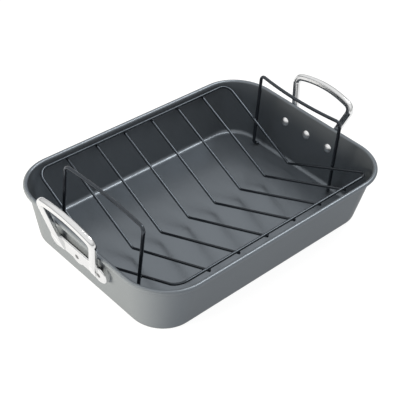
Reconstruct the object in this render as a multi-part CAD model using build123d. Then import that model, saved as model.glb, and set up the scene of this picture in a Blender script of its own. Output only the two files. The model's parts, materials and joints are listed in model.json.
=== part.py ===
"""Roasting pan with a lift-out V-shaped rack, in millimetres.

The pan is a deep-drawn metal tray with a rim rolled over a wire. A cast loop handle is riveted to
each end wall. The rack is bent and welded from round wire and stands loose on the pan's floor.
The origin is the centre of the pan's flat bottom, +X runs along the pan and +Z points up.
"""
from build123d import *
import os
from math import asin, atan2, cos, degrees, hypot, radians, sin, tan

os.makedirs("parts", exist_ok=True)

# Pan, drawn from one sheet
rim_length = 430.0  # over the rolled rim, along X
rim_width = 307.0  # over the rolled rim, along Y
pan_height = 84.3  # floor underside to the top of the rim
rim_corner_radius = 64.0
base_length = 394.4  # outside, where the wall runs into the bottom round
base_width = 270.7
base_corner_radius = 48.0
base_round = 8.0  # outside radius between wall and bottom
sheet = 1.2

# Rolled rim and the wire inside it
rim_wire_diameter = 3.75
rim_wire_fit = 0.1  # between the wire and the sheet rolled round it
curl_angle = 290.0  # degrees of sheet round the wire

# Loop handles
rivet_height = 54.0  # rivet row above the table
rivet_pitch = 42.0
lobe_radius = 13.0  # plate around each rivet
web_drop = 9.0  # lower edge of the plate between the lobes, below the rivet row
lobe_blend = 7.0  # hollow radius between lobe and web
plate_thickness = 8.6
plate_edge_round = 2.4
bar_width = 10.6  # across the bar, in the plane of the loop
bar_thickness = 8.8  # across the bar, out of that plane
bar_edge_round = 3.6
bar_standoff = 9.0  # wall to the middle of the bar, at the rivet row
loop_lean = 13.9  # degrees that the loop leans away from the pan
leg_root_span = 65.2  # between the legs, at the rivet row
grip_span = 104.8  # between the sharp corners of the grip
grip_rise = 67.2  # rivet row to those corners, along the loop
grip_bow = 8.7  # how far the middle of the grip stands above them
grip_corner_radius = 10.0
leg_tail = 9.0  # how far the legs run down past the rivet row
leg_tail_round = 3.0
leg_sink_height = 17.0  # above the rivet row, where the legs start to sink into the plate

# Rivets
shank_diameter = 6.2
rivet_fit = 0.1  # radial, between shank and hole
head_diameter = 13.0  # domed head inside the pan
head_height = 3.4
tail_diameter = 7.4  # closed end outside the handle
tail_height = 1.1

# Rack wires, measured from the plane that its feet stand on
rack_wire_diameter = 3.7
bail_wire_diameter = 4.8
rack_length = 348.0  # between the two end wires
rack_width = 276.8  # between the two rails
rail_height = 76.6
vee_height = 10.1  # sharp bottom of the V wires
vee_bend_radius = 6.0
frame_corner_radius = 16.0
cross_wire_count = 6
wire_overhang = 1.5  # cross wires past the middle of the rail
weld_gap = 0.05  # between the surfaces of wires that are welded together

# Bails, the bent wires at both ends that are handle and legs in one
bail_span = 150.8
bail_height = 123.0
bail_corner_radius = 7.0
bail_bow = 8.2  # sharp middle of the top bar, towards the pan
bail_dip = 2.6  # and downwards
bail_bow_share = 0.934  # of the bar between its corners, bent into the bow's arc
bail_lean = {"left": 3.0, "right": 0.5}  # degrees towards the pan, as bent by hand
toe_length = 8.0
toe_turn = 38.0  # degrees that the toes turn towards each other
toe_bend_radius = 4.9

# How the rack stands in the pan
rack_offset_x = 4.0
rack_offset_y = 3.8
rest_gap = 0.3  # between the rack's feet and the floor
overrun = 2.0  # how far every cut passes the surface it opens
match_margin = 0.01  # how near a corner has to lie to a line to be taken as on it

bead_radius = rim_wire_diameter / 2 + rim_wire_fit + sheet
bead_height = pan_height - bead_radius


def write(name, solid):
    solid.label = name
    export_step(solid, f"parts/{name}.step")


def wall_outline(height, inset):
    """Outside of the wall at a height, as a rounded rectangle, drawn in by an inset."""
    share = (height - base_round) / (bead_height - base_round)
    wall_top = 2 * (sheet - 2 * bead_radius)
    length = base_length + (rim_length + wall_top - base_length) * share
    width = base_width + (rim_width + wall_top - base_width) * share
    radius = base_corner_radius + (rim_corner_radius + wall_top / 2 - base_corner_radius) * share
    return Pos(0, 0, height) * RectangleRounded(length - 2 * inset, width - 2 * inset, radius - inset)


def bowl(floor, top, inset):
    """Solid with the wall's taper from the floor up, its bottom edge rounded."""
    body = loft([wall_outline(floor, inset), wall_outline(top, inset)], ruled=True)
    return fillet(body.faces().sort_by(Axis.Z)[0].edges(), base_round - inset)


def rim_path():
    """Middle of the rolled rim."""
    path = RectangleRounded(rim_length - 2 * bead_radius, rim_width - 2 * bead_radius,
                            rim_corner_radius - bead_radius)
    return Pos(0, 0, bead_height) * path.face().outer_wire()


# The end wall at +X is flat. This plane lies on its outside, X along the wall and Y up it.
end_top = rim_length / 2 + sheet - 2 * bead_radius
draft = atan2(end_top - base_length / 2, bead_height - base_round)
end_wall_x = base_length / 2 + (rivet_height - base_round) * tan(draft)
end_wall = Plane(origin=(end_wall_x, 0, rivet_height), x_dir=(0, 1, 0),
                 z_dir=(cos(draft), 0, -sin(draft)))
wall_thickness = sheet * cos(draft)
rivet_places = [-rivet_pitch, 0, rivet_pitch]


def rivet_hole(place):
    hole = Cylinder(shank_diameter / 2 + rivet_fit, wall_thickness + plate_thickness + 2 * overrun,
                    align=(Align.CENTER, Align.CENTER, Align.MIN))
    return end_wall * Pos(place, 0, -wall_thickness - overrun) * hole


def both_ends(solid):
    return {"right": solid, "left": mirror(solid, about=Plane.YZ)}


# Pan body: the drawn tray, its rolled rim and the rivet holes
tray = bowl(0, bead_height, 0) - bowl(sheet, bead_height + overrun, sheet)
curl_start = 180
curl_outer = CenterArc((0, 0), bead_radius, curl_start, -curl_angle)
curl_inner = CenterArc((0, 0), bead_radius - sheet, curl_start, -curl_angle)
curl_section = make_face([curl_outer, curl_inner, Line(curl_outer @ 0, curl_inner @ 0),
                          Line(curl_outer @ 1, curl_inner @ 1)])
path = rim_path()
start = path @ 0
# The section's own +X has to point away from the pan.
outward = Vector(start.X, 0, 0) if abs((path % 0).Y) > abs((path % 0).X) else Vector(0, start.Y, 0)
rim_plane = Plane(origin=start, x_dir=outward, z_dir=outward.cross(Vector(0, 0, 1)))
curl = sweep(rim_plane * curl_section, path=path)
pan_body = tray + curl
for place in rivet_places:
    for hole in both_ends(rivet_hole(place)).values():
        pan_body -= hole
write("pan_body", pan_body)

# Rim wire: a ring of round wire inside the rolled rim
rim_wire = sweep(rim_plane * Circle(rim_wire_diameter / 2), path=path)
write("rim_wire", rim_wire)


def handle():
    """Cast loop: a lobed plate against the wall and a bowed bar that grows out of it."""
    web = Rectangle(2 * rivet_pitch, lobe_radius + web_drop, align=(Align.CENTER, Align.MIN))
    plate = Pos(0, -web_drop) * web
    for place in rivet_places:
        plate += Pos(place, 0) * Circle(lobe_radius)
    low, high = -web_drop - match_margin, -web_drop + match_margin
    hollows = plate.vertices().filter_by_position(Axis.Y, low, high)
    plate = extrude(fillet(hollows, lobe_blend), plate_thickness)
    plate = fillet(plate.faces().sort_by(Axis.Z)[-1].edges(), plate_edge_round)

    root = leg_root_span / 2
    corner = grip_span / 2
    tail = root - (corner - root) / grip_rise * leg_tail
    loop = Wire([Line((-tail, -leg_tail), (-corner, grip_rise)),
                 ThreePointArc((-corner, grip_rise), (0, grip_rise + grip_bow), (corner, grip_rise)),
                 Line((corner, grip_rise), (tail, -leg_tail))])
    sharp = loop.vertices().filter_by_position(Axis.Y, grip_rise - match_margin, grip_rise + match_margin)
    loop = loop.fillet_2d(grip_corner_radius, sharp)
    section = Plane(origin=loop @ 0, x_dir=(0, 0, 1), z_dir=loop % 0)
    bar = sweep(section * RectangleRounded(bar_thickness, bar_width, bar_edge_round), path=loop)
    bar = fillet(bar.faces().sort_by(Axis.Y)[0:2].edges(), leg_tail_round)

    loop_plane = Plane(origin=end_wall.origin + end_wall.z_dir * bar_standoff, x_dir=(0, 1, 0),
                       z_dir=(cos(radians(loop_lean)), 0, -sin(radians(loop_lean))))
    legs_face = bar_standoff + bar_thickness / 2 + leg_sink_height * tan(radians(loop_lean) - draft)
    sink_slope = atan2(legs_face - plate_thickness, leg_sink_height + leg_tail)
    sink_plane = Plane(origin=(0, leg_sink_height, legs_face), x_dir=(1, 0, 0),
                       z_dir=(0, -sin(sink_slope), cos(sink_slope)))
    sink = Box(2 * grip_span, hypot(leg_sink_height + leg_tail, legs_face) + overrun, 2 * bar_thickness,
               align=(Align.CENTER, Align.MAX, Align.MIN))
    bar = loop_plane * bar - end_wall * (sink_plane * sink)
    solid = end_wall * plate + bar
    for place in rivet_places:
        solid -= rivet_hole(place)
    return solid


for side, solid in both_ends(handle()).items():
    write(f"handle_{side}", solid)


def rivet():
    """Round rivet, drawn upright through the wall, with the wall's outside at zero height."""
    inside = -wall_thickness
    outside = plate_thickness
    shank = shank_diameter / 2
    head = head_diameter / 2
    tail = tail_diameter / 2
    head_dome = RadiusArc((0, inside - head_height), (head, inside),
                          -(head ** 2 + head_height ** 2) / (2 * head_height))
    tail_dome = RadiusArc((tail, outside), (0, outside + tail_height),
                          -(tail ** 2 + tail_height ** 2) / (2 * tail_height))
    outline = [head_dome, Line((head, inside), (shank, inside)), Line((shank, inside), (shank, outside)),
               Line((shank, outside), (tail, outside)), tail_dome,
               Line((0, outside + tail_height), (0, inside - head_height))]
    return revolve(Plane.XZ * make_face(outline), axis=Axis.Z)


for number, place in enumerate(rivet_places, 1):
    for side, solid in both_ends(end_wall * Pos(place, 0, 0) * rivet()).items():
        write(f"rivet_{side}_{number}", solid)


def wire(points, radii, diameter, close=False):
    """Round wire along straight runs joined by bends."""
    path = FilletPolyline(points, radius=radii, close=close)
    section = Plane(origin=path @ 0, z_dir=path % 0) * Circle(diameter / 2)
    return sweep(section, path=path)


# Rack, drawn about its own middle with its feet at zero height
rack_place = Pos(rack_offset_x, rack_offset_y, sheet + rest_gap)
end_x = rack_length / 2
rail_y = rack_width / 2

# Rack frame: one wire bent round both rails and down into a V at each end
frame_points = [(end_x, -rail_y, rail_height), (end_x, 0, vee_height), (end_x, rail_y, rail_height),
                (-end_x, rail_y, rail_height), (-end_x, 0, vee_height), (-end_x, -rail_y, rail_height)]
frame_radii = [frame_corner_radius, vee_bend_radius, frame_corner_radius] * 2
write("rack_frame", rack_place * wire(frame_points, frame_radii, rack_wire_diameter, close=True))

# Cross wires: V wires welded under both rails
rail_slope = atan2(rail_height - vee_height, rail_y)
rail_reach = hypot(rail_height - vee_height, rail_y)
cross_slope = rail_slope - asin((rack_wire_diameter + weld_gap) / rail_reach)
cross_y = rail_y + wire_overhang
cross_height = vee_height + cross_y * tan(cross_slope)
for number in range(1, cross_wire_count + 1):
    x = -end_x + number * rack_length / (cross_wire_count + 1)
    points = [(x, -cross_y, cross_height), (x, 0, vee_height), (x, cross_y, cross_height)]
    write(f"rack_wire_{number}", rack_place * wire(points, vee_bend_radius, rack_wire_diameter))


def bail(lean):
    """Bent wire for the +X end: two toes, two legs and a bowed bar between them."""
    leg_y = bail_span / 2
    weld_x = end_x + (rack_wire_diameter + bail_wire_diameter) / 2 + weld_gap
    weld_height = vee_height + leg_y * tan(rail_slope)
    foot_height = bail_wire_diameter / 2
    foot_x = weld_x + (weld_height - foot_height) * tan(radians(lean))
    top_x = weld_x - (bail_height - weld_height) * tan(radians(lean))
    bow_radius = bail_bow_share * (leg_y - bail_corner_radius) * leg_y / hypot(bail_bow, bail_dip)
    toe_end = (foot_x + toe_length * cos(radians(toe_turn)), leg_y - toe_length * sin(radians(toe_turn)))
    half = [(*toe_end, foot_height), (foot_x, leg_y, foot_height),
            (top_x, leg_y, bail_height)]
    middle = [(top_x - bail_bow, 0, bail_height - bail_dip)]
    other = [(point[0], -point[1], point[2]) for point in reversed(half)]
    radii = [toe_bend_radius, bail_corner_radius, bow_radius, bail_corner_radius, toe_bend_radius]
    return wire(half + middle + other, radii, bail_wire_diameter)


write("rack_bail_right", rack_place * bail(bail_lean["right"]))
write("rack_bail_left", rack_place * mirror(bail(bail_lean["left"]), about=Plane.YZ))
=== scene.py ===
import bpy
import json
from math import cos, pi, radians, sin
from mathutils import Matrix, Vector


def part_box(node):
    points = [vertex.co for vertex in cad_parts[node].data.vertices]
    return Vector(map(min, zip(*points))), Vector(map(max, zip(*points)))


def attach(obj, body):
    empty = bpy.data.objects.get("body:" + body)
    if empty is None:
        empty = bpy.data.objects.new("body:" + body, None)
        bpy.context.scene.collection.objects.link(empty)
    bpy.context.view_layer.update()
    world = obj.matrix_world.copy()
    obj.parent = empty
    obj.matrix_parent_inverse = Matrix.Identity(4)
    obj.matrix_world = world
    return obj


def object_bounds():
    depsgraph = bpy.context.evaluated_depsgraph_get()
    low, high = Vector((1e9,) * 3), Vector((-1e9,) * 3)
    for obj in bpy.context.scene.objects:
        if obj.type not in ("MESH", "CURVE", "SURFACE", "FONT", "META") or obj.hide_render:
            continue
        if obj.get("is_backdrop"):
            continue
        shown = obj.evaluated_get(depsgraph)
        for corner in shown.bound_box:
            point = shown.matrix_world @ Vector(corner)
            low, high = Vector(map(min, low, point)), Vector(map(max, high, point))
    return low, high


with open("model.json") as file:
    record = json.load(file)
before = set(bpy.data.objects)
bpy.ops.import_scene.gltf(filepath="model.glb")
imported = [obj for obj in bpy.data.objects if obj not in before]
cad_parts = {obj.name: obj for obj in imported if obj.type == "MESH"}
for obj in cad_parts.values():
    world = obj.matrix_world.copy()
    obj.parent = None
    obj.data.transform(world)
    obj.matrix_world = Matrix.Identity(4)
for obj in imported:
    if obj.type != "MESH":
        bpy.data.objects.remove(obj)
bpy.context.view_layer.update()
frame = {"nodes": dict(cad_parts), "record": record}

# Camera
# It stands over the near left corner and looks down into the pan, from about 1.3 m away.
# The picture is turned a little, as the photograph is.
camera_azimuth = radians(-46.18)
camera_elevation = radians(39.161)
camera_roll = radians(5.15)
camera_distance = 1.32076
camera_target = Vector((-0.008389, -0.002255, 0.04))
camera_sensor_width = 36.0
camera_lens = 88.17
camera_data = bpy.data.cameras.new("camera")
camera_data.sensor_width = camera_sensor_width
camera_data.lens = camera_lens
camera = bpy.data.objects.new("camera", camera_data)
bpy.context.scene.collection.objects.link(camera)
away = Vector((sin(camera_azimuth) * cos(camera_elevation),
               -cos(camera_azimuth) * cos(camera_elevation), sin(camera_elevation)))
level_right = (-away).cross(Vector((0, 0, 1))).normalized()
level_up = level_right.cross(-away)
right = level_right * cos(camera_roll) + level_up * sin(camera_roll)
up = level_up * cos(camera_roll) - level_right * sin(camera_roll)
camera.matrix_world = (Matrix.Translation(camera_target + away * camera_distance)
                       @ Matrix((right, up, away)).transposed().to_4x4())
bpy.context.scene.camera = camera
bpy.context.scene.view_settings.view_transform = "Standard"

# Studio
# A pale table in a white room whose walls are grey above a white foot, a large soft lamp overhead
# to the right, and a low warm lamp behind a grid that lights the outside of the pan's left end.
# Seen from below, the table lets the underside of the pan show.
table_size = 12.0
table_gap = 0.0002
table_colour = (0.16, 0.16, 0.16, 1.0)
table_glow = 0.9
room_white = 1.0
room_wall_grey = 0.35
wall_foot_sine = 0.06
wall_sine = 0.1
ceiling_sine = 0.62
room_fill = 0.95
table_mesh = bpy.data.meshes.new("table")
half_table = table_size / 2
table_mesh.from_pydata([(x, y, -table_gap) for x, y in
                        ((-half_table, -half_table), (half_table, -half_table),
                         (half_table, half_table), (-half_table, half_table))],
                       [], [(0, 1, 2, 3)])
table = bpy.data.objects.new("table", table_mesh)
bpy.context.scene.collection.objects.link(table)
table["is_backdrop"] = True


def seen_or_lighting(tree, seen, lighting):
    """One strength for what the camera, metal and glass see, another for what lights the part."""
    rays = tree.nodes.new("ShaderNodeLightPath")
    strength = lighting
    for kind in ("Is Transmission Ray", "Is Glossy Ray", "Is Camera Ray"):
        choice = tree.nodes.new("ShaderNodeMix")
        tree.links.new(rays.outputs[kind], choice.inputs["Factor"])
        for socket, source in (("A", strength), ("B", seen)):
            if isinstance(source, bpy.types.NodeSocket):
                tree.links.new(source, choice.inputs[socket])
            else:
                choice.inputs[socket].default_value = source
        strength = choice.outputs["Result"]
    return strength


table_material = bpy.data.materials.new("table_white")
table_material.use_nodes = True
tree = table_material.node_tree
surface = tree.nodes["Principled BSDF"]
surface.inputs["Base Color"].default_value = table_colour
surface.inputs["Roughness"].default_value = 1.0
surface.inputs["Specular IOR Level"].default_value = 0.0
surface.inputs["Emission Color"].default_value = (1.0, 1.0, 1.0, 1.0)
tree.links.new(seen_or_lighting(tree, table_glow, lighting=0.0),
               surface.inputs["Emission Strength"])
from_above = tree.nodes.new("ShaderNodeMath")
from_above.operation = "SUBTRACT"
from_above.inputs[0].default_value = 1.0
tree.links.new(tree.nodes.new("ShaderNodeNewGeometry").outputs["Backfacing"],
               from_above.inputs[1])
tree.links.new(from_above.outputs["Value"], surface.inputs["Alpha"])
table_mesh.materials.append(table_material)

world = bpy.data.worlds.new("white_room")
world.use_nodes = True
tree = world.node_tree
tree.nodes["Background"].inputs["Color"].default_value = (1.0, 1.0, 1.0, 1.0)
direction = tree.nodes.new("ShaderNodeTexCoord").outputs["Generated"]
parts = tree.nodes.new("ShaderNodeSeparateXYZ")
tree.links.new(direction, parts.inputs["Vector"])
brighter = tree.nodes.new("ShaderNodeMath")
brighter.operation = "MAXIMUM"
for number, (low, high, to_low, to_high) in enumerate((
        (wall_foot_sine, wall_sine, room_white, room_wall_grey),
        (wall_sine, ceiling_sine, room_wall_grey, room_white))):
    wall = tree.nodes.new("ShaderNodeMapRange")
    for socket, value in (("From Min", low), ("From Max", high), ("To Min", to_low),
                          ("To Max", to_high)):
        wall.inputs[socket].default_value = value
    tree.links.new(parts.outputs["Z"], wall.inputs["Value"])
    tree.links.new(wall.outputs["Result"], brighter.inputs[number])
tree.links.new(seen_or_lighting(tree, brighter.outputs["Value"], room_fill),
               tree.nodes["Background"].inputs["Strength"])
bpy.context.scene.world = world


def soft_lamp(name, place, aim, width, height, radiance, tint, spread, mirrored):
    """A soft box of an even radiance, wide open or narrowed by a grid.

    One that isn't mirrored doesn't show in the metal. It is also left out of what rays meet by
    chance, because that puts bright dots on the pan's rim.
    """
    data = bpy.data.lights.new(name, "AREA")
    data.shape = "RECTANGLE"
    data.size = width
    data.size_y = height
    data.energy = pi * width * height * radiance
    data.color = tint
    data.spread = spread
    data.cycles.use_multiple_importance_sampling = mirrored
    lamp = bpy.data.objects.new(name, data)
    lamp.location = place
    lamp.rotation_euler = (Vector(aim) - Vector(place)).to_track_quat("-Z", "Y").to_euler()
    lamp.visible_camera = False
    lamp.visible_glossy = mirrored
    bpy.context.scene.collection.objects.link(lamp)


soft_lamp("overhead_softbox", place=(0.8, -0.1, 1.3), aim=(0, 0, 0), width=0.45, height=1.0,
          radiance=7.0, tint=(1.0, 1.0, 1.0), spread=pi, mirrored=True)
soft_lamp("left_lamp", place=(-0.74, 0.26, 0.065), aim=(-0.2, 0.02, 0.06), width=0.6, height=0.13,
          radiance=24.0, tint=(1.0, 0.91, 0.77), spread=radians(70), mirrored=False)

# Pan body
# One drawn steel tray with a rolled rim. A dark grey non-stick coating is sprayed over all of it,
# with a faint orange peel, fine light flakes and a slightly uneven gloss.


def lumpiness(tree, place, per_metre, detail):
    """Noise between 0 and 1 over a piece, with so many lumps to a metre."""
    noise = tree.nodes.new("ShaderNodeTexNoise")
    noise.inputs["Scale"].default_value = per_metre
    noise.inputs["Detail"].default_value = detail
    tree.links.new(place, noise.inputs["Vector"])
    return noise.outputs["Fac"]


def stretched(tree, value, low, high, to_low, to_high):
    """A value stretched from one range to another, and kept inside it."""
    node = tree.nodes.new("ShaderNodeMapRange")
    for name, number in (("From Min", low), ("From Max", high)):
        node.inputs[name].default_value = number
    for name, end in (("To Min", to_low), ("To Max", to_high)):
        if isinstance(end, bpy.types.NodeSocket):
            tree.links.new(end, node.inputs[name])
        else:
            node.inputs[name].default_value = end
    tree.links.new(value, node.inputs["Value"])
    return node.outputs["Result"]


def colour_over(tree, share, under, over):
    """One colour over another, by a share that changes over the surface."""
    node = tree.nodes.new("ShaderNodeMix")
    node.data_type = "RGBA"
    tree.links.new(share, node.inputs["Factor"])
    for number, colour in ((6, under), (7, over)):
        if isinstance(colour, bpy.types.NodeSocket):
            tree.links.new(colour, node.inputs[number])
        else:
            node.inputs[number].default_value = colour
    return node.outputs[2]


def finish_group(name, inputs, outputs):
    """An empty group for a finish, with named sockets, and its input and output nodes."""
    group = bpy.data.node_groups.new(name, "ShaderNodeTree")
    for socket_name, kind, value in inputs:
        socket = group.interface.new_socket(socket_name, in_out="INPUT", socket_type=kind)
        socket.default_value = value
    for socket_name, kind in outputs:
        group.interface.new_socket(socket_name, in_out="OUTPUT", socket_type=kind)
    return group, group.nodes.new("NodeGroupInput"), group.nodes.new("NodeGroupOutput")


flakes_per_metre = 2600.0
flake_threshold = 0.66
flake_full = 0.78
flake_strength = 0.6
gloss_clouds_per_metre = 14.0
cloud_low = 0.3
cloud_high = 0.7
peel_lumps_per_metre = 420.0
sprayed_coating, given, made = finish_group(
    "sprayed_coating",
    [("Coat Colour", "NodeSocketColor", (0.1, 0.1, 0.1, 1.0)),
     ("Flake Colour", "NodeSocketColor", (0.3, 0.3, 0.3, 1.0)),
     ("Gloss Low", "NodeSocketFloat", 0.35),
     ("Gloss High", "NodeSocketFloat", 0.45)],
    [("Colour", "NodeSocketColor"), ("Roughness", "NodeSocketFloat"),
     ("Height", "NodeSocketFloat")])
place = sprayed_coating.nodes.new("ShaderNodeTexCoord").outputs["Object"]
flakes = stretched(sprayed_coating, lumpiness(sprayed_coating, place, flakes_per_metre, detail=1.0),
              flake_threshold, flake_full, 0.0, flake_strength)
flaked = colour_over(sprayed_coating, flakes, given.outputs["Coat Colour"],
                     given.outputs["Flake Colour"])
sprayed_coating.links.new(flaked, made.inputs["Colour"])
clouds = lumpiness(sprayed_coating, place, gloss_clouds_per_metre, detail=3.0)
gloss = stretched(sprayed_coating, clouds, cloud_low, cloud_high, given.outputs["Gloss Low"],
             given.outputs["Gloss High"])
sprayed_coating.links.new(gloss, made.inputs["Roughness"])
peel = lumpiness(sprayed_coating, place, peel_lumps_per_metre, detail=2.0)
sprayed_coating.links.new(peel, made.inputs["Height"])


def coated(name, colour, flake_colour, gloss_low, gloss_high, metallic, shine, edge_tint,
           peel_depth):
    """A sprayed coating in a given colour and gloss."""
    material = bpy.data.materials.new(name)
    material.use_nodes = True
    tree = material.node_tree
    surface = tree.nodes["Principled BSDF"]
    coat = tree.nodes.new("ShaderNodeGroup")
    coat.node_tree = sprayed_coating
    coat.inputs["Coat Colour"].default_value = colour
    coat.inputs["Flake Colour"].default_value = flake_colour
    coat.inputs["Gloss Low"].default_value = gloss_low
    coat.inputs["Gloss High"].default_value = gloss_high
    tree.links.new(coat.outputs["Colour"], surface.inputs["Base Color"])
    tree.links.new(coat.outputs["Roughness"], surface.inputs["Roughness"])
    surface.inputs["Metallic"].default_value = metallic
    surface.inputs["Specular IOR Level"].default_value = shine
    surface.inputs["Specular Tint"].default_value = edge_tint
    bump = tree.nodes.new("ShaderNodeBump")
    bump.inputs["Distance"].default_value = peel_depth
    tree.links.new(coat.outputs["Height"], bump.inputs["Height"])
    tree.links.new(bump.outputs["Normal"], surface.inputs["Normal"])
    return material


nonstick = coated("nonstick_grey", colour=(0.155, 0.173, 0.191, 1.0),
                  flake_colour=(0.26, 0.275, 0.29, 1.0), gloss_low=0.285, gloss_high=0.33,
                  metallic=0.7, shine=0.5, edge_tint=(0.42, 0.42, 0.42, 1.0),
                  peel_depth=0.000005)
frame["nodes"]["pan_body"].material_slots[0].material = nonstick

# Rim wire
# A closed ring of bare drawn steel wire. The sheet of the pan is rolled round it all the way, and
# it stiffens the rim.
bare_wire_colour = (0.45, 0.45, 0.46, 1.0)
bare_wire_gloss = (0.35, 0.5)
drawing_marks_per_metre = 700.0
bare_wire = bpy.data.materials.new("bare_wire_steel")
bare_wire.use_nodes = True
tree = bare_wire.node_tree
surface = tree.nodes["Principled BSDF"]
place = tree.nodes.new("ShaderNodeTexCoord").outputs["Object"]
surface.inputs["Base Color"].default_value = bare_wire_colour
surface.inputs["Metallic"].default_value = 1.0
marks = lumpiness(tree, place, drawing_marks_per_metre, detail=2.0)
tree.links.new(stretched(tree, marks, cloud_low, cloud_high, *bare_wire_gloss),
               surface.inputs["Roughness"])
frame["nodes"]["rim_wire"].material_slots[0].material = bare_wire

# Handles
# Two stainless loops, cast in one with their plates, ground and polished all over. The polish
# leaves faint streaks and a slight waviness.
streaks_per_metre = 320.0
waves_per_metre = 90.0
polished_casting, given, made = finish_group(
    "polished_casting",
    [("Gloss Low", "NodeSocketFloat", 0.12), ("Gloss High", "NodeSocketFloat", 0.25)],
    [("Roughness", "NodeSocketFloat"), ("Height", "NodeSocketFloat")])
place = polished_casting.nodes.new("ShaderNodeTexCoord").outputs["Object"]
streaks = lumpiness(polished_casting, place, streaks_per_metre, detail=4.0)
gloss = stretched(polished_casting, streaks, cloud_low, cloud_high, given.outputs["Gloss Low"],
             given.outputs["Gloss High"])
polished_casting.links.new(gloss, made.inputs["Roughness"])
waves = lumpiness(polished_casting, place, waves_per_metre, detail=1.0)
polished_casting.links.new(waves, made.inputs["Height"])


def polished(name, colour, gloss_low, gloss_high, wave_depth):
    """Polished stainless steel."""
    material = bpy.data.materials.new(name)
    material.use_nodes = True
    tree = material.node_tree
    surface = tree.nodes["Principled BSDF"]
    steel = tree.nodes.new("ShaderNodeGroup")
    steel.node_tree = polished_casting
    steel.inputs["Gloss Low"].default_value = gloss_low
    steel.inputs["Gloss High"].default_value = gloss_high
    tree.links.new(steel.outputs["Roughness"], surface.inputs["Roughness"])
    surface.inputs["Base Color"].default_value = colour
    surface.inputs["Metallic"].default_value = 1.0
    bump = tree.nodes.new("ShaderNodeBump")
    bump.inputs["Distance"].default_value = wave_depth
    tree.links.new(steel.outputs["Height"], bump.inputs["Height"])
    tree.links.new(bump.outputs["Normal"], surface.inputs["Normal"])
    return material


handle_steel = polished("handle_steel", colour=(0.74, 0.745, 0.745, 1.0), gloss_low=0.1,
                        gloss_high=0.15, wave_depth=0.000006)
for side in ("left", "right"):
    frame["nodes"][f"handle_{side}"].material_slots[0].material = handle_steel

# Rivets
# Three solid stainless rivets hold each handle. Their domed heads inside the pan are polished, and
# the small closing heads outside are pressed flat and coloured dark.
rivet_colour = (0.9, 0.9, 0.9, 1.0)
rivet_steel = polished("rivet_steel", colour=rivet_colour, gloss_low=0.3, gloss_high=0.36,
                       wave_depth=0.00003)
rivets_per_handle = 3
end_wall_lean = radians(9.8)
closing_head_height = 0.001
closing_head_edge = 0.0001
closing_head_colour = (0.2, 0.2, 0.2, 1.0)
rivet_direction = Vector((cos(end_wall_lean), 0.0, -sin(end_wall_lean)))
closing_head_start = max(rivet_direction.dot(vertex.co)
                         for vertex in frame["nodes"]["rivet_right_2"].data.vertices)
closing_head_start -= closing_head_height

tree = rivet_steel.node_tree
surface = tree.nodes["Principled BSDF"]
either_end = tree.nodes.new("ShaderNodeVectorMath")
either_end.operation = "ABSOLUTE"
tree.links.new(tree.nodes.new("ShaderNodeTexCoord").outputs["Object"], either_end.inputs[0])
along_rivet = tree.nodes.new("ShaderNodeVectorMath")
along_rivet.operation = "DOT_PRODUCT"
along_rivet.inputs[1].default_value = rivet_direction
tree.links.new(either_end.outputs["Vector"], along_rivet.inputs[0])
# The end faces of the flat closing heads are coloured dark, with the same gloss as the domed heads.
closing_head_share = stretched(tree, along_rivet.outputs["Value"], closing_head_start - closing_head_edge,
               closing_head_start + closing_head_edge, 0.0, 1.0)
tree.links.new(colour_over(tree, closing_head_share, rivet_colour, closing_head_colour),
               surface.inputs["Base Color"])
for side in ("left", "right"):
    for number in range(1, rivets_per_handle + 1):
        frame["nodes"][f"rivet_{side}_{number}"].material_slots[0].material = rivet_steel

# Rack
# An edge wire with a V at each end, six V-shaped cross wires and two tall bails with feet, all bent
# from round steel wire, spot welded and dipped in a black non-stick coating.
black_coating = coated("black_coating", colour=(0.004, 0.0045, 0.006, 1.0),
                       flake_colour=(0.006, 0.0065, 0.008, 1.0), gloss_low=0.1, gloss_high=0.15,
                       metallic=0.0, shine=0.8, edge_tint=(0.76, 0.88, 1.0, 1.0),
                       peel_depth=0.000004)
for name in frame["record"]["behaviour"]["bodies"]["rack"]:
    frame["nodes"][name].material_slots[0].material = black_coating

# Rack welds
# Where two wires of the rack cross, a spot weld presses them together and squeezes a little steel
# out round the contact. The coating covers these nuggets too.
frame_wire_radius = 0.00185
cross_wires = 6
bail_leg_from_middle = 0.0754
bail_weld_height = 0.0478
nugget_half_width = 0.0023
nugget_half_height = 0.0015
nugget_unevenness = 0.0007
nugget_size_spread = 0.12
nugget_lumps_per_metre = 400.0
nugget_lumps_middle = 0.5
nugget_seed = 7
flat = (0.0, 0.0, 0.0)
on_edge = (0.0, pi / 2, 0.0)

frame_low, frame_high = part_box("rack_frame")
rail_places = (frame_low.y + frame_wire_radius, frame_high.y - frame_wire_radius)
under_rail = frame_high.z - 2 * frame_wire_radius
contacts = []
for number in range(1, cross_wires + 1):
    wire_low, wire_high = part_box(f"rack_wire_{number}")
    for rail_place in rail_places:
        contacts.append(((wire_low.x + wire_high.x) / 2, rail_place, under_rail))
lies = [flat] * len(contacts)
rack_middle = (frame_low.y + frame_high.y) / 2
for end in (frame_low.x, frame_high.x):
    for leg in (-bail_leg_from_middle, bail_leg_from_middle):
        contacts.append((end, rack_middle + leg, bail_weld_height))
        lies.append(on_edge)
contact_mesh = bpy.data.meshes.new("weld_contacts")
contact_mesh.from_pydata(contacts, [], [])
lie_of_contact = contact_mesh.attributes.new("lie", "FLOAT_VECTOR", "POINT")
for index, angles in enumerate(lies):
    lie_of_contact.data[index].vector = angles
welds = bpy.data.objects.new("rack_welds", contact_mesh)
bpy.context.scene.collection.objects.link(welds)

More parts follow.
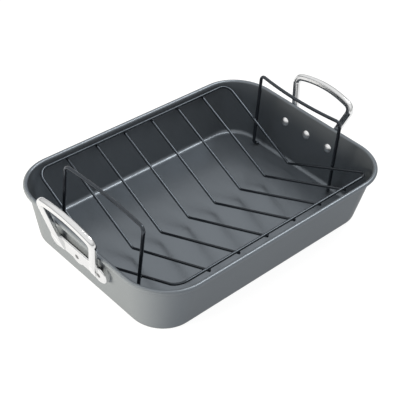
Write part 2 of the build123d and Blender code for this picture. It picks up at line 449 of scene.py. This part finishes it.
weld_tree = bpy.data.node_groups.new("spot_weld_nuggets", "GeometryNodeTree")
weld_tree.interface.new_socket("Geometry", in_out="INPUT", socket_type="NodeSocketGeometry")
weld_sizes = {"Half Width": ("NodeSocketFloat", nugget_half_width),
              "Half Height": ("NodeSocketFloat", nugget_half_height),
              "Unevenness": ("NodeSocketFloat", nugget_unevenness),
              "Size Spread": ("NodeSocketFloat", nugget_size_spread),
              "Seed": ("NodeSocketInt", nugget_seed)}
weld_sockets = {name: weld_tree.interface.new_socket(name, in_out="INPUT", socket_type=kind)
                for name, (kind, value) in weld_sizes.items()}
weld_tree.interface.new_socket("Geometry", in_out="OUTPUT", socket_type="NodeSocketGeometry")
given = weld_tree.nodes.new("NodeGroupInput")
made = weld_tree.nodes.new("NodeGroupOutput")


def weld_node(kind, operation=None, **inputs):
    """A node of the weld tree, with its operation and its inputs linked or set."""
    node = weld_tree.nodes.new(kind)
    if operation:
        node.operation = operation
    for name, source in inputs.items():
        socket = node.inputs[int(name[1:])] if name[1:].isdigit() else node.inputs[name]
        if isinstance(source, bpy.types.NodeSocket):
            weld_tree.links.new(source, socket)
        else:
            socket.default_value = source
    return node


ball = weld_node("GeometryNodeMeshIcoSphere", Radius=1.0, Subdivisions=4)
proportions = weld_node("ShaderNodeCombineXYZ", X=given.outputs["Half Width"],
                        Y=given.outputs["Half Width"], Z=given.outputs["Half Height"])
smallest = weld_node("ShaderNodeMath", "SUBTRACT", _0=1.0, _1=given.outputs["Size Spread"])
largest = weld_node("ShaderNodeMath", "ADD", _0=1.0, _1=given.outputs["Size Spread"])
size = weld_node("FunctionNodeRandomValue", _2=smallest.outputs[0], _3=largest.outputs[0],
                 Seed=given.outputs["Seed"])
half_sizes = weld_node("ShaderNodeVectorMath", "SCALE", Vector=proportions.outputs["Vector"],
                       Scale=size.outputs[1])
lie = weld_node("GeometryNodeInputNamedAttribute", Name="lie")
lie.data_type = "FLOAT_VECTOR"
placed = weld_node("GeometryNodeInstanceOnPoints", Points=given.outputs["Geometry"],
                   Instance=ball.outputs["Mesh"], Rotation=lie.outputs["Attribute"],
                   Scale=half_sizes.outputs["Vector"])
balls = weld_node("GeometryNodeRealizeInstances", Geometry=placed.outputs["Instances"])
lumps = weld_node("ShaderNodeTexNoise", Scale=nugget_lumps_per_metre, Detail=1.0)
in_or_out = weld_node("ShaderNodeMath", "SUBTRACT", _0=lumps.outputs["Fac"],
                      _1=nugget_lumps_middle)
depth = weld_node("ShaderNodeMath", "MULTIPLY", _0=in_or_out.outputs[0],
                  _1=given.outputs["Unevenness"])
outward = weld_node("GeometryNodeInputNormal")
push = weld_node("ShaderNodeVectorMath", "SCALE", Vector=outward.outputs["Normal"],
                 Scale=depth.outputs[0])
uneven = weld_node("GeometryNodeSetPosition", Geometry=balls.outputs["Geometry"],
                   Offset=push.outputs["Vector"])
smooth = weld_node("GeometryNodeSetShadeSmooth", Geometry=uneven.outputs["Geometry"])
finish = weld_node("GeometryNodeSetMaterial", Geometry=smooth.outputs["Geometry"],
                   Material=black_coating)
weld_tree.links.new(finish.outputs["Geometry"], made.inputs["Geometry"])

modifier = welds.modifiers.new("spot_welds", "NODES")
modifier.node_group = weld_tree
for name, (kind, value) in weld_sizes.items():
    modifier[weld_sockets[name].identifier] = value
evaluated = welds.evaluated_get(bpy.context.evaluated_depsgraph_get())
weld_mesh = bpy.data.meshes.new_from_object(evaluated)
weld_mesh.materials.pop(index=0)
welds.modifiers.remove(modifier)
welds.data = weld_mesh
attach(welds, "rack")

# Sizes
# The box round the dressed part is found.
low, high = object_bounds()
